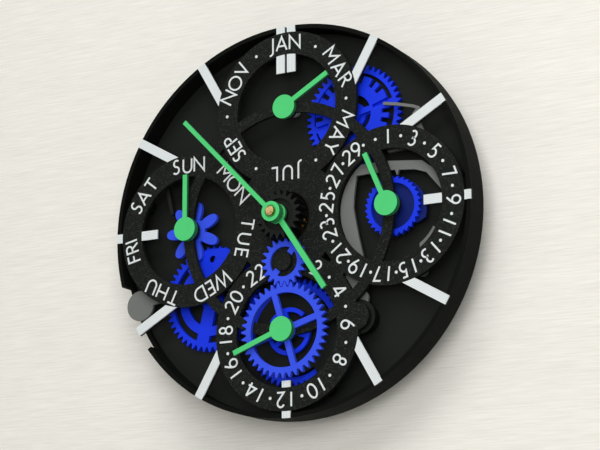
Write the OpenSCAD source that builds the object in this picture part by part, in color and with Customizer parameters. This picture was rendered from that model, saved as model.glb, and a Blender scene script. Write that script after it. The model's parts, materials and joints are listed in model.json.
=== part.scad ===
// Skeleton wall clock with perpetual calendar.
// All pieces are drawn in the dial frame: x to the right, y up, z towards the viewer,
// with z = 0 at the front of the dial plate. stand() turns them upright against the wall.

/* [Case] */
// Gap between the small dials and the case wall
rim_gap = 1.2; // [0.8:0.1:2]
// Thickness of the case wall
case_wall = 2.3; // [1.8:0.1:2.6]
// Depth of the visible case wall
case_depth = 16; // [15.9:0.1:18]
// Distance from the back of the case wall to the room wall
cover_depth = 18; // [17.9:0.1:22]
// How far the spacer ring is set in from the case radius
cover_inset = 11.5; // [9:0.5:11.5]
// Thickness of the rear cover and of the spacer ring's wall
cover_wall = 2; // [1.6:0.1:2.2]
// Depth of the notch that leaves room for the finger tab
notch_depth = 9; // [8:0.5:10]
// Clock angle where the notch starts
notch_start = 233.4; // [230:0.2:235]
// Clock angle where the notch ends
notch_end = 255; // [255:0.5:257]

/* [Dial plate] */
// Distance from the clock centre to the centre of each small dial
dial_offset = 60; // [59:0.5:62]
// Outer radius of a small dial ring
ring_r = 42; // [41:0.25:42.25]
// Width of a small dial ring
ring_w = 12.3; // [11.5:0.1:12.5]
// Thickness of the dial plate
plate_t = 2.4; // [2:0.1:2.4]
// Width of the round band that carries the small dials
band_w = 5.8; // [5:0.1:6.5]
// Radius of the web round the centre
web_r = 31.2; // [30.4:0.2:33]
// Radius of the hub that carries an arbor
hub_r = 6; // [5:0.1:6.3]

/* [Hour markers] */
// Width of an hour marker
marker_w = 5; // [4:0.1:5.4]
// Thickness of the white inlay of an hour marker
inlay_t = 0.8; // [0.5:0.1:1.2]
// Gap between the two bars at twelve
marker_gap = 1.4; // [1:0.1:2]
// Inner end of the markers at twelve, three and nine
marker_inner = 79.5; // [78:0.5:82]
// Inner end of the marker at six
marker_inner_six = 86.2; // [85:0.2:88]

/* [Hands] */
// Width of the hour hand
hand_w = 3; // [2.6:0.1:3.4]
// Width of the minute hand
minute_w = 2.4; // [2:0.1:2.8]
// Width of a small hand
small_w = 2.7; // [2.4:0.1:3.2]
// Thickness of the hour and minute hands
hand_t = 1.6; // [1.4:0.1:1.8]
// Length of the minute hand from its axis
minute_len = 76.5; // [70:0.5:80]
// Length of the hour hand from its axis
hour_len = 50; // [45:0.5:52]
// Length of a small hand from its axis
small_len = 30; // [27:0.5:31]
// Radius of the boss of a small hand
boss_r = 6.5; // [5.5:0.1:7]
// Radius of the boss of the minute hand
minute_boss_r = 5.3; // [5:0.1:6]

/* [Reading] */
// Hour shown
shown_hour = 16; // [0:1:23]
// Minute shown
shown_minute = 52.7; // [0:0.1:59.9]
// Weekday shown, with Sunday as 0
shown_weekday = 0; // [0:1:6]
// Date shown
shown_date = 30; // [1:1:31]
// Month shown, with January as 1
shown_month = 3; // [1:1:12]
// Angle by which the 24-hour hand is set back on its arbor
day_hand_back = 3.8; // [0:0.2:6]

/* [Gears] */
// Teeth of the hour gear
hour_teeth = 20; // [20]
// Teeth of the idler
idler_teeth = 20; // [20]
// Teeth of the day gear
day_teeth = 40; // [40]
// Teeth of the two calendar drive gears
drive_teeth = 48; // [48]
// Module of the calendar drive gears
drive_mod = 1.15; // [1.12:0.01:1.16]
// Clock angle of the transfer gear as seen from the day arbor
transfer_angle = 294.6; // [294:0.2:296]
// Teeth of the pinion on the month arbor
month_teeth = 12; // [12]
// Teeth of the gear on the program arbor, one for each month of four years
program_teeth = 48; // [48]
// Distance from the month arbor to the program arbor
program_dist = 36.7; // [36.5:0.1:37.5]
// Clock angle of the program arbor as seen from the month arbor
program_angle = 101.6; // [101:0.2:103]
// Tip radius of the indexing wheel on the program arbor
index_tip_r = 27.9; // [27:0.1:28]
// Largest radius of the month program cam
cam_r = 21.5; // [20:0.1:22]
// Tip radius of the date ratchet
ratchet_r = 16; // [15:0.1:16]
// Tip radius of the weekday star
star_r = 16.5; // [15.5:0.1:16.5]

/* [Calendar lever] */
// Thickness of the calendar lever
lever_t = 1.6; // [1.4:0.1:1.6]
// Width of the long arm
lever_w = 7; // [6:0.1:7.5]
// Radius of the finger tab
tab_r = 8.3; // [7.5:0.1:8.6]
// Outer radius of the frame round the date ratchet
frame_r = 30.3; // [29.5:0.1:30.5]
// Radius of the post that the lever turns on
post_r = 4.2; // [3.8:0.1:4.4]

/* [Clearances] */
// Radial clearance of a turning fit
run_gap = 0.05; // [0.03:0.01:0.08]
// Radial gap of a fixed fit
seat_gap = 0.02; // [0.01:0.01:0.04]
// Smallest gap between pieces that pass each other
free_gap = 0.4; // [0.35:0.05:0.5]
// End play of an arbor or a wheel
end_gap = 0.3; // [0.3:0.05:0.4]

/* [Hidden] */
$fn = 64;

// Colours
black = "#1c1c1d";
blue = "#1a38e0";
green = "#50d274";
gray = "#7d7d7d";
white = "#e3e8ea";
brass = "#c9a24b";
steel = "#a9adb2";

// Levels along the viewing axis, front faces unless the name says back
plate_back = -plate_t;
lever_front = plate_back - 2.3;
lever_back = lever_front - lever_t;
deep_front = -8.9;
deep_back = -11.3;
floor_front = -12;
floor_back = -14;
ledge_t = 2;
rear_gear_front = floor_back - end_gap;
rear_gear_back = rear_gear_front - 1.3;
case_back = -case_depth;
flange_t = 2;
wall_z = case_back - cover_depth;
train_front = 2.6;
train_back = free_gap;
hour_top = 8.7;
minute_top = 16.6;
minute_bottom = 12.4;
shaft_top = 19.1;

// Case and cover
case_in_r = dial_offset + ring_r + rim_gap;
case_r = case_in_r + case_wall;
ledge_in_r = case_in_r - 5.2;
cover_r = case_r - cover_inset;
cover_in_r = cover_r - cover_wall;
flange_r = case_r - 3;
cover_screw_r = (cover_r + flange_r) / 2;
cover_screw_count = 6;
screw_shank_r = 1.25;
screw_head_r = 2.75;
screw_head_t = 2;
// Rebate of the spacer ring that the rear cover drops into
rebate_w = 1;
back_r = cover_in_r + rebate_w - seat_gap;
back_screw_count = 4;
back_head_t = 1.2;
boss_post_r = 3.4;
boss_post_at = cover_in_r - boss_post_r + 0.8;
boss_bore_t = 9;

// Dial plate
open_r = ring_r - ring_w;
centre_hole_r = 13.9;
idler_post_r = 7.9;
ear_r = 7.1;
idler_cap_r = 4.9;
// Collar of the lever post, in front of the lever
cap_r = 9;
// How far a marker's bar reaches into the ring that it starts in
marker_tuck = 8;
pillar_inset = 5.6;
pillar_r = 3.5;

// Arbors
arbor_r = 1.5;
arbor_tail = rear_gear_back - 0.6;
collar_r = 2.6;
// Bosses stand this much proud of the arms that join them
proud = 0.03;
boss_back = case_back;
centre_boss_r = 12;
shaft_r = 2.5;
pipe_wall = 1.2;
pipe_in_r = shaft_r + run_gap;
pipe_r = pipe_in_r + pipe_wall;
bush_in_r = pipe_r + run_gap;
bush_r = bush_in_r + 1.2;
bush_top = floor_front + 4.2;
nut_t = 2.4;
nut_r = 8;

// Angles of the hands, clockwise from twelve
minute_angle = 6 * shown_minute;
hour_angle = 30 * (shown_hour + shown_minute / 60);
day_angle = 15 * (shown_hour + shown_minute / 60);
weekday_angle = 360 / 7 * shown_weekday;
date_angle = 360 / 31 * (shown_date - 1);
month_angle = 30 * (shown_month - 1);

// Point at a distance r from the centre c, at a clock angle
function clock_pt(r, a, c = [0, 0]) = [c[0] + r * sin(a), c[1] + r * cos(a)];
// Clock angle of the direction from p to q
function clock_dir(p, q) = atan2(q[0] - p[0], q[1] - p[1]);

month_at = clock_pt(dial_offset, 0);
date_at = clock_pt(dial_offset, 90);
day_at = clock_pt(dial_offset, 180);
weekday_at = clock_pt(dial_offset, 270);
dials = [month_at, date_at, day_at, weekday_at];

// Time train: the three gears fill the distance to the lower dial
gear_mod = dial_offset / ((hour_teeth + 2 * idler_teeth + day_teeth) / 2);
idler_at = clock_pt(gear_mod * (hour_teeth + idler_teeth) / 2, 180);
function tip_r(teeth, mod) = mod * (teeth / 2 + 1);
function root_r(teeth, mod) = mod * (teeth / 2 - 1.25);

// Phase of a gear that meshes with another: a is a tooth of the first, dir the clock
// angle from the first to the second, both clockwise
function mesh_phase(a, teeth_a, teeth_b, dir) =
    dir + 180 + ((dir - a) * teeth_a / 360 + 0.5) * 360 / teeth_b;

day_phase = day_angle;
idler_phase = mesh_phase(day_phase, day_teeth, idler_teeth, 0);
hour_phase = mesh_phase(idler_phase, idler_teeth, hour_teeth, 0);

// Calendar drive
transfer_at = clock_pt(drive_mod * drive_teeth, transfer_angle, day_at);
transfer_phase = mesh_phase(day_phase, drive_teeth, drive_teeth, transfer_angle);
drive_pin_r = 1.3;
paddle_t = 1;
drive_pin_ring = norm(transfer_at - weekday_at) - star_r - drive_pin_r - free_gap;
drive_pin_angle = clock_dir(transfer_at, clock_pt(20, 186, weekday_at));
cam_follower_ring = 33.2;
cam_follower_angle = 340;

// Month program
program_at = clock_pt(program_dist, program_angle, month_at);
program_mod = program_dist / ((month_teeth + program_teeth) / 2);
program_phase = mesh_phase(month_angle, month_teeth, program_teeth, program_angle);
index_mod = index_tip_r / (program_teeth / 2 + 1);
program_cam_front = lever_back - free_gap;
beak_angle = 83.2;
// Days in each month, and the cam radius that stands for each length
month_days = [31, 28, 31, 30, 31, 30, 31, 31, 30, 31, 30, 31];
function month_len(i) = (i % 12 == 1 && floor(i / 12) == 3) ? 29 : month_days[i % 12];
function cam_radius(days) =
    days == 31 ? cam_r : days == 30 ? cam_r - 4.2 : days == 29 ? cam_r - 7 : cam_r - 9;

// Calendar lever
pivot_at = clock_pt(ring_r - 1.1, 84.5, day_at);
ratchet_front = lever_front + 0.4;
tab_at = clock_pt(case_r - 5.3, notch_end - 7);
// The long arm follows the lower dial at this radius, from the elbow's clock angle
lever_arc_r = 34.5;
elbow_angle = 333;
pawl_tip = ratchet_r + free_gap;

// Battery bay
cell_r = 7.1;
cell_len = 50;
bay_y = -17;
movement_w = 56;
movement_front = case_back;
movement_back = wall_z + cover_wall + end_gap;
cell_z = movement_back + cell_r + 0.5;
door_w = 44;
door_h = 18;
door_gap = 0.4;
door_axis_y = bay_y + door_h / 2 - cover_wall / 2 - door_gap;
knob_at = [16, 14];
knob_r = 6;
hanger_y = 74;
hanger_r = 4.5;
hanger_slot_r = 2.3;
hanger_slot_len = 9;

module stand() {
    translate([0, wall_z, 0]) rotate([90, 0, 0]) children();
}

// Turns a child that points to twelve to a clock angle
module at_clock(a) {
    rotate([0, 0, -a]) children();
}

module at_point(p, z = 0) {
    translate([p[0], p[1], z]) children();
}

// Straight part between two levels
module slab(front, back) {
    translate([0, 0, back]) linear_extrude(front - back) children();
}

module rod(r, front, back) {
    translate([0, 0, back]) cylinder(r = r, h = front - back);
}

module tube(r, bore, front, back) {
    difference() {
        rod(r, front, back);
        rod(bore, front + 1, back - 1);
    }
}

// Flat bar between two points, with round ends that stand a hair proud of it
module bar(p, q, w, front, back) {
    side = w / 2 - 2 * proud;
    at_point(p) rod(w / 2, front, back);
    at_point(q) rod(w / 2, front, back);
    slab(front - proud, back + proud) translate(p) rotate(atan2(q[1] - p[1], q[0] - p[0]))
        translate([0, -side]) square([norm(q - p), 2 * side]);
}

// Bar that follows a circle between two clock angles, a hair thinner than what it joins
module arc_bar(r, w, front, back, start, end) {
    translate([0, 0, back + 2 * proud]) rotate([0, 0, 90 - end])
        rotate_extrude(angle = end - start, $fn = 180)
            translate([r - w / 2, 0]) square([w, front - back - 4 * proud]);
}

// Spur gear outline with a tooth at the clock angle phase
module gear_outline(teeth, mod, phase) {
    pitch = 360 / teeth;
    tip = tip_r(teeth, mod);
    root = root_r(teeth, mod);
    root_half = 0.36 * pitch;
    tip_half = 0.085 * pitch;
    polygon([for (i = [0 : teeth - 1]) let (a = phase + i * pitch)
        each [clock_pt(root, a - root_half), clock_pt(tip, a - tip_half),
            clock_pt(tip, a + tip_half), clock_pt(root, a + root_half)]]);
}

// Hand: a round boss with a bar that points to twelve
module hand(len, w, boss, bore, front, back, bar_t) {
    difference() {
        union() {
            rod(boss, front, back);
            slab(front, front - bar_t) translate([-w / 2, 0]) square([w, len]);
        }
        rod(bore, front + 1, back - 1);
    }
}

// Arbor with collars on both sides of the dial plate and the main plate
module arbor(front) {
    color(steel) {
        rod(arbor_r, front, arbor_tail);
        rod(collar_r, deep_back, floor_front + end_gap);
    }
}

// ---- Fixed pieces ----

module notch_space() {
    translate([0, 0, -notch_depth]) rotate([0, 0, 90 - notch_end])
        rotate_extrude(angle = notch_end - notch_start, $fn = 180)
            translate([case_in_r - 1, 0]) square([case_wall + 2, notch_depth + 1]);
}

module case_shell() {
    color(black) stand() difference() {
        union() {
            tube(case_r, case_in_r, 0, case_back);
            tube(case_in_r + 0.5, ledge_in_r, case_back + ledge_t, case_back);
        }
        notch_space();
        for (h = [1 : 11]) at_clock(30 * h) marker_slot(marker_w);
        marker_slot(2 * marker_w + marker_gap);
        for (i = [0 : cover_screw_count - 1])
            at_clock(30 + i * 360 / cover_screw_count) at_point([0, cover_screw_r])
                rod(screw_shank_r + seat_gap, 0, case_back - 1);
    }
}

module marker_slot(w) {
    translate([-w / 2 - seat_gap, case_in_r - 1, plate_back - seat_gap])
        cube([w + 2 * seat_gap, case_wall + 2, plate_t + 1]);
}

module main_plate() {
    color(black) stand() difference() {
        union() {
            rod(case_in_r - seat_gap, floor_front, floor_back);
            rod(centre_boss_r, floor_front, boss_back);
        }
        for (p = dials) at_point(p) rod(arbor_r + run_gap, 0, floor_back - 1);
        at_point(program_at) rod(arbor_r + run_gap, 0, floor_back - 1);
        at_point(transfer_at) rod(arbor_r + seat_gap, 0, floor_back - 1);
        at_point(pivot_at) rod(screw_shank_r + seat_gap, 0, floor_back - 1);
        rod(bush_r + seat_gap, 0, boss_back - 1);
        for (p = pillar_points()) at_point(p) rod(screw_shank_r + seat_gap, 0, floor_back - 1);
        for (p = detent_points()) at_point(p) rod(screw_shank_r + seat_gap, 0, floor_back - 1);
    }
}

// Pillars stand under the rings, clear of every wheel and lever
function pillar_points() = [
    clock_pt(ring_r - pillar_inset, 235, month_at),
    clock_pt(ring_r - pillar_inset, 335, month_at),
    clock_pt(ring_r - pillar_inset, 300, weekday_at),
    clock_pt(ring_r - pillar_inset, 147, day_at),
    clock_pt(ring_r - pillar_inset, 212, day_at),
    clock_pt(ring_r - pillar_inset, 68, date_at)];

// Feet of the three detent springs
function detent_points() = [
    clock_pt(ring_r - 5, 158, date_at),
    clock_pt(ring_r - 6, 22, date_at),
    clock_pt(ring_r - 6, 330, weekday_at)];

// The rings and the web, seen from the front
module rings_outline() {
    difference() {
        union() {
            for (p = dials) translate(p) circle(r = ring_r, $fn = 180);
            circle(r = web_r, $fn = 120);
            at_clock(135) translate([-3, web_r + 5.6]) square([6, 10.6]);
        }
        for (p = dials) translate(p) circle(r = open_r, $fn = 180);
    }
}

// Bars of the hour markers: each starts inside a ring and ends flush with the case
function marker_start(h) =
    h == 0 || h == 3 || h == 9 ? marker_inner : h == 6 ? marker_inner_six
    : dial_offset * cos(30) + sqrt(ring_r * ring_r - pow(dial_offset * sin(30), 2)) - marker_tuck;

module marker_bars() {
    reach = case_r + 1;
    intersection() {
        circle(r = case_r, $fn = 180);
        union() {
            for (h = [1 : 11]) at_clock(30 * h) translate([-marker_w / 2, marker_start(h)])
                square([marker_w, reach - marker_start(h)]);
            for (s = [-1, 1]) translate([s * (marker_w + marker_gap) / 2 - marker_w / 2,
                marker_start(0)]) square([marker_w, reach - marker_start(0)]);
        }
    }
}

// The part of the bars that shows beside the rings
module inlay_outline() {
    difference() {
        marker_bars();
        for (p = dials) translate(p) difference() {
            circle(r = ring_r, $fn = 180);
            circle(r = open_r, $fn = 180);
        }
    }
}

module dial_plate() {
    color(black) stand() difference() {
        union() {
            slab(0, plate_back) {
                rings_outline();
                marker_bars();
            }
            tube(dial_offset + band_w / 2, dial_offset - band_w / 2, 0, plate_back);
            for (p = dials) at_point(p) rod(hub_r, 0, plate_back);
            at_point(pivot_at) rod(ear_r, 0, plate_back);
            at_point(idler_at) rod(idler_post_r, train_front - 1.2, plate_back);
            at_point(idler_at) rod(idler_cap_r, train_front + 1.2, plate_back);
        }
        slab(1, -inlay_t) inlay_outline();
        for (p = dials) at_point(p) rod(arbor_r + run_gap, 1, plate_back - 1);
        rod(centre_hole_r, 1, plate_back - 1);
    }
}

module hour_markers() {
    color(white) stand() slab(0, seat_gap - inlay_t) inlay_outline();
}

module dial_pillars() {
    color(black) stand() for (p = pillar_points()) at_point(p)
        tube(pillar_r, screw_shank_r + seat_gap, plate_back, floor_front);
}

module pillar_screws() {
    color(steel) stand() for (p = concat(pillar_points(), [pivot_at])) at_point(p) {
        rod(screw_shank_r, floor_front + 6, floor_back);
        rod(screw_head_r, floor_back, rear_gear_back);
    }
}

// Ring between the case and the rear cover, with posts for the back screws
module spacer_ring() {
    step = wall_z + cover_wall;
    color(black) stand() difference() {
        union() {
            tube(flange_r, cover_in_r, case_back, case_back - flange_t);
            tube(cover_r, cover_in_r, case_back - flange_t, step);
            tube(cover_r, cover_in_r + rebate_w, step, wall_z);
            for (i = [0 : back_screw_count - 1]) back_screw_place(i)
                rod(boss_post_r, case_back - proud, step + proud);
        }
        cover_screw_holes();
        for (i = [0 : back_screw_count - 1]) back_screw_place(i)
            rod(screw_shank_r + seat_gap, step + boss_bore_t, step - 1);
    }
}

module cover_screw_holes() {
    for (i = [0 : cover_screw_count - 1])
        at_clock(30 + i * 360 / cover_screw_count) at_point([0, cover_screw_r])
            rod(screw_shank_r + seat_gap, case_back + 1, case_back - flange_t - 1);
}

module back_screw_place(i) {
    at_clock(45 + i * 360 / back_screw_count) at_point([0, boss_post_at]) children();
}

module rear_cover() {
    color(black) stand() difference() {
        rod(back_r, wall_z + cover_wall, wall_z);
        for (i = [0 : back_screw_count - 1]) back_screw_place(i) {
            rod(screw_shank_r + seat_gap, wall_z + cover_wall + 1, wall_z - 1);
            rod(screw_head_r + seat_gap, wall_z + back_head_t, wall_z - 1);
        }
        at_point([0, hanger_y]) rod(hanger_r, wall_z + cover_wall + 1, wall_z - 1);
        slab(wall_z + cover_wall + 1, wall_z - 1) translate([0, hanger_y]) {
            translate([-hanger_slot_r, 0]) square([2 * hanger_slot_r, hanger_slot_len]);
            translate([0, hanger_slot_len]) circle(r = hanger_slot_r);
        }
        at_point(knob_at) rod(knob_r + 1, wall_z + cover_wall + 1, wall_z - 1);
        translate([-door_w / 2, bay_y - door_h / 2, wall_z - 1])
            cube([door_w, door_h, cover_wall + 2]);
        for (s = [-1, 1]) door_pin_hole(s);
    }
}

module back_screws() {
    color(steel) stand() for (i = [0 : back_screw_count - 1]) back_screw_place(i) {
        rod(screw_shank_r, wall_z + cover_wall + boss_bore_t - 1, wall_z + back_head_t);
        rod(screw_head_r, wall_z + back_head_t, wall_z + proud);
    }
}

module door_pin_hole(side) {
    translate([side * (door_w / 2 - 0.1), door_axis_y, wall_z + cover_wall / 2])
        rotate([0, 90 * side, 0]) cylinder(r = 0.6 + run_gap, h = 2.2);
}

module cover_screws() {
    color(steel) stand() for (i = [0 : cover_screw_count - 1])
        at_clock(30 + i * 360 / cover_screw_count) at_point([0, cover_screw_r]) {
            rod(screw_shank_r, case_back + ledge_t, case_back - flange_t);
            rod(screw_head_r, case_back - flange_t, case_back - flange_t - screw_head_t);
        }
}

// ---- Movement and battery ----

module movement_case() {
    color(black) stand() difference() {
        slab(movement_front, movement_back)
            square([movement_w, movement_w], center = true);
        rod(bush_r + seat_gap, movement_front + 1, movement_front - 5);
        rod(shaft_r + run_gap, movement_front, movement_front - 8);
        translate([-cell_len / 2 - 2, bay_y - cell_r - 0.4, movement_back - 1])
            cube([cell_len + 4, 2 * cell_r + 0.8, cell_z + cell_r + 0.4 - movement_back + 1]);
        at_point(knob_at) rod(2 + run_gap, movement_back + 3, movement_back - 1);
    }
}

module movement_bush() {
    color(brass) stand() tube(bush_r, bush_in_r, bush_top, movement_front - 5);
}

module movement_nut() {
    color(brass) stand() difference() {
        slab(floor_front + nut_t, floor_front) circle(r = nut_r, $fn = 6);
        rod(bush_r + seat_gap, floor_front + nut_t + 1, floor_front - 1);
    }
}

module battery_cell() {
    color(steel) stand() at_point([0, bay_y], cell_z) rotate([0, 90, 0]) {
        translate([0, 0, -cell_len / 2]) cylinder(r = cell_r, h = cell_len - 1.4);
        translate([0, 0, cell_len / 2 - 1.4]) cylinder(r = 2.7, h = 1.2);
    }
}

module battery_contacts() {
    color(brass) stand() for (s = [-1, 1])
        translate([s * (cell_len / 2 + 0.7) - 0.3, bay_y - 5, cell_z - 5]) cube([0.6, 10, 10]);
}

module battery_door() {
    half = cover_wall / 2;
    color(black) stand() {
        translate([0, door_axis_y, wall_z + half]) rotate([0, 90, 0]) {
            translate([0, 0, -door_w / 2 + door_gap])
                cylinder(r = half, h = door_w - 2 * door_gap);
            translate([0, 0, -door_w / 2 - 1.6]) cylinder(r = 0.6, h = door_w + 3.2);
        }
        translate([-door_w / 2 + door_gap, bay_y - door_h / 2 + door_gap, wall_z])
            cube([door_w - 2 * door_gap, door_axis_y - bay_y + door_h / 2 - door_gap, cover_wall]);
    }
}

module setting_knob() {
    color(black) stand() at_point(knob_at) {
        rod(knob_r, movement_back - end_gap, wall_z + end_gap);
        rod(2, movement_back + 2.8, movement_back - 0.4);
    }
}

// ---- Centre: minute and hour ----

module centre_shaft() {
    color(brass) stand() {
        rod(shaft_r, shaft_top - 1, movement_front - 7.5);
        at_point([0, 0], shaft_top - 1) cylinder(r1 = shaft_r, r2 = shaft_r - 1, h = 1);
    }
}

module minute_hand() {
    color(green) stand() at_clock(minute_angle) difference() {
        hand(minute_len, minute_w, minute_boss_r, shaft_r + seat_gap, minute_top,
            minute_bottom, hand_t);
        rod(shaft_r + 0.9, minute_top + 1, minute_top - 1.2);
    }
}

module hour_pipe() {
    color(brass) stand() tube(pipe_r, pipe_in_r, hour_top + hand_t + 0.2, movement_front - 4.6);
}

module hour_gear() {
    color(black) stand() difference() {
        slab(hour_top, train_back - 1)
            gear_outline(hour_teeth, gear_mod, hour_phase);
        tube(8.5, minute_boss_r + 0.2, hour_top + 1, hour_top - 1.6);
        rod(pipe_r + seat_gap, hour_top + 1, train_back - 2);
    }
}

module hour_hand() {
    color(green) stand() at_clock(hour_angle)
        hand(hour_len, hand_w, minute_boss_r, pipe_r + seat_gap, hour_top + hand_t,
            hour_top, hand_t);
}

module idler_gear() {
    bore = idler_post_r + run_gap;
    color(blue) stand() at_point(idler_at) {
        difference() {
            slab(train_front, train_back) gear_outline(idler_teeth, gear_mod, idler_phase);
            rod(bore, train_front + 1, train_back - 1);
        }
        for (a = [40, 220]) at_clock(a) translate([-1.7, 5.3, train_front - 0.7])
            cube([3.4, bore - 4.9, 0.7]);
    }
}

// ---- Twenty-four hour dial ----

day_hand_top = 5.9;

module day_arbor() {
    stand() at_point(day_at) arbor(day_hand_top - 0.6);
}

module day_gear() {
    rim_in = 19.6;
    spoke_w = 3.2;
    color(blue) stand() at_point(day_at) {
        difference() {
            slab(train_front, train_back) gear_outline(day_teeth, gear_mod, day_phase);
            rod(rim_in, train_front + 1, train_back - 1);
        }
        tube(hub_r, arbor_r + seat_gap, train_front, train_back);
        for (i = [0 : 3]) at_clock(day_angle + 90 * i)
            translate([-spoke_w / 2, hub_r - 1.5, train_back + 2 * proud])
                cube([spoke_w, rim_in - hub_r + 2.5, train_front - train_back - 4 * proud]);
    }
}

module day_hand() {
    color(green) stand() at_point(day_at) at_clock(day_angle - day_hand_back) difference() {
        hand(small_len, small_w, boss_r, 0.01, day_hand_top, train_front, hand_t);
        rod(arbor_r + seat_gap, day_hand_top - 0.6, train_front - 1);
    }
}

module clutch_ring() {
    front = plate_back - 0.6;
    back = front - 2;
    color(blue) stand() at_point(day_at) {
        tube(3.6, arbor_r + seat_gap, front, back);
        for (a = [-62, 58, 178]) {
            arc_bar(11.4, 2.3, front, back, a, a + 108);
            at_clock(a + 49) translate([-1.2, 2.7, back + proud])
                cube([2.4, 8.5, front - back - 2 * proud]);
        }
    }
}

module day_cam() {
    front = deep_front + 1.6;
    back = deep_front + end_gap;
    color(black) stand() at_point(day_at) difference() {
        union() {
            rod(22.5, front, back);
            arc_bar(24.5, 7, front, back, 67, 147);
        }
        rod(arbor_r + seat_gap, front + 1, back - 1);
    }
}

module drive_wheel(phase, rim) {
    root = root_r(drive_teeth, drive_mod);
    difference() {
        slab(deep_front, deep_back) difference() {
            gear_outline(drive_teeth, drive_mod, phase);
            difference() {
                circle(r = root - rim, $fn = 120);
                circle(r = 20);
                rotate(-14) square([7.4, 2 * root], center = true);
            }
            difference() {
                circle(r = 15);
                circle(r = 6.5);
                rotate(-14) square([7.4, 2 * root], center = true);
            }
        }
        rod(arbor_r + seat_gap, deep_front + 1, deep_back - 1);
    }
}

module day_drive_gear() {
    color(blue) stand() at_point(day_at) drive_wheel(day_phase, 3);
}

// ---- Transfer wheel and weekday ----

module transfer_stud() {
    color(steel) stand() at_point(transfer_at) {
        rod(arbor_r, deep_front + 1.6, floor_back);
        rod(collar_r, deep_back - end_gap, floor_front);
    }
}

module transfer_gear() {
    color(blue) stand() at_point(transfer_at) difference() {
        drive_wheel(transfer_phase, 2.4);
        rod(arbor_r + run_gap, deep_front + 1, deep_back - 1);
    }
}

module weekday_paddle() {
    back = deep_front + end_gap;
    front = back + paddle_t;
    color(blue) stand() at_point(transfer_at) {
        difference() {
            union() {
                rod(6, front, deep_front);
                at_clock(2) slab(front, back) polygon([[-4.5, 1], [-15, 16], [-9, 24.5],
                    [-2, 27.2], [8, 27], [17, 24], [21, 15], [4.5, 1]]);
            }
            rod(arbor_r + run_gap, front + 1, deep_front - 1);
            at_clock(3.5) at_point([0, 21.2]) rod(2.1, front + 1, deep_front - 1);
        }
        at_clock(drive_pin_angle) at_point([0, drive_pin_ring])
            rod(drive_pin_r, lever_back - free_gap, front);
    }
}

star_front = -5;
star_back = star_front - 2.2;

module weekday_arbor() {
    stand() at_point(weekday_at) arbor(3.3);
}

// Leaf outline along twelve, from the hub to the tip
module leaf(inner, outer, half_w) {
    steps = 12;
    side = [for (i = [0 : steps]) let (t = 180 * i / steps)
        [half_w * pow(sin(t), 0.8), (inner + outer - (outer - inner) * cos(t)) / 2]];
    polygon(concat(side, [for (i = [steps - 1 : -1 : 1]) [-side[i][0], side[i][1]]]));
}

module weekday_star() {
    color(blue) stand() at_point(weekday_at) difference() {
        slab(star_front, star_back) {
            circle(r = 7.4);
            for (i = [0 : 6]) rotate(-12 - i * 360 / 7) leaf(5, star_r, 3);
        }
        rod(arbor_r + seat_gap, star_front + 1, star_back - 1);
    }
}

module small_hand(at, angle, top, bottom) {
    color(green) stand() at_point(at) at_clock(angle) difference() {
        hand(small_len, small_w, boss_r, 0.01, top, bottom, hand_t);
        rod(arbor_r + seat_gap, top - 0.6, bottom - 1);
    }
}

module weekday_hand() {
    small_hand(weekday_at, weekday_angle, 3.9, 0.7);
}

// ---- Date ----

ratchet_back = lever_back - end_gap;
disc_back = ratchet_back - 1.8;

module date_arbor() {
    stand() at_point(date_at) arbor(3.3);
}

module date_ratchet() {
    teeth = 31;
    pitch = 360 / teeth;
    color(blue) stand() at_point(date_at) difference() {
        slab(ratchet_front, ratchet_back) difference() {
            polygon([for (i = [0 : teeth - 1]) let (a = date_angle + i * pitch)
                each [clock_pt(ratchet_r, a), clock_pt(ratchet_r - 1.7, a + 0.25 * pitch)]]);
            circle(r = ratchet_r - 3.7, $fn = 120);
        }
    }
}

// Snail that rises behind the ratchet, which hides its low side
module date_disc() {
    low = ratchet_r - 1.8;
    rise = 4.7;
    top = 112;
    // Clock angle of the foot of the snail, counted from the date hand
    foot = 23.2;
    function lift(a) = a < top ? rise * a / top : max(0, rise * (1 - (a - top) / 22));
    color(blue) stand() at_point(date_at) difference() {
        slab(ratchet_back, disc_back)
            polygon([for (a = [0 : 4 : 356]) clock_pt(low + lift(a), a + date_angle + foot)]);
        rod(arbor_r + seat_gap, ratchet_back + 1, disc_back - 1);
    }
}

module date_hand() {
    small_hand(date_at, date_angle, 3.9, 0.7);
}

// ---- Month and four-year program ----

module month_arbor() {
    stand() at_point(month_at) arbor(2.1);
}

module month_pinion() {
    color(brass) stand() at_point(month_at) difference() {
        slab(rear_gear_front, rear_gear_back)
            gear_outline(month_teeth, program_mod, month_angle);
        rod(arbor_r + seat_gap, 0, rear_gear_back - 1);
    }
}

module month_hand() {
    small_hand(month_at, month_angle, 2.7, train_back);
}

module program_arbor() {
    stand() at_point(program_at) arbor(program_cam_front + 0.5);
}

module program_cam() {
    half = 3.7;
    first = beak_angle - (shown_month - 1 + 12) * 7.5;
    color(blue) stand() at_point(program_at) difference() {
        slab(program_cam_front, deep_front) difference() {
            polygon([for (i = [0 : 47]) let (a = first + 7.5 * i, r = cam_radius(month_len(i)))
                each [clock_pt(r, a - half), clock_pt(r, a + half)]]);
            difference() {
                circle(r = cam_r - 10.5);
                circle(r = 4.5);
                for (i = [0 : 3]) rotate(12 + 90 * i) translate([0, -1.5])
                    square([cam_r - 10, 3]);
            }
        }
        rod(arbor_r + seat_gap, program_cam_front + 1, deep_front - 1);
    }
}

module index_wheel() {
    color(blue) stand() at_point(program_at) difference() {
        slab(deep_front, deep_back) difference() {
            gear_outline(program_teeth, index_mod, program_phase);
            difference() {
                circle(r = index_tip_r - 4.5, $fn = 120);
                circle(r = 7);
                for (i = [0 : 3]) rotate(12 + 90 * i) translate([0, -2])
                    square([index_tip_r - 4, 4]);
            }
        }
        rod(arbor_r + seat_gap, deep_front + 1, deep_back - 1);
    }
}

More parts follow.
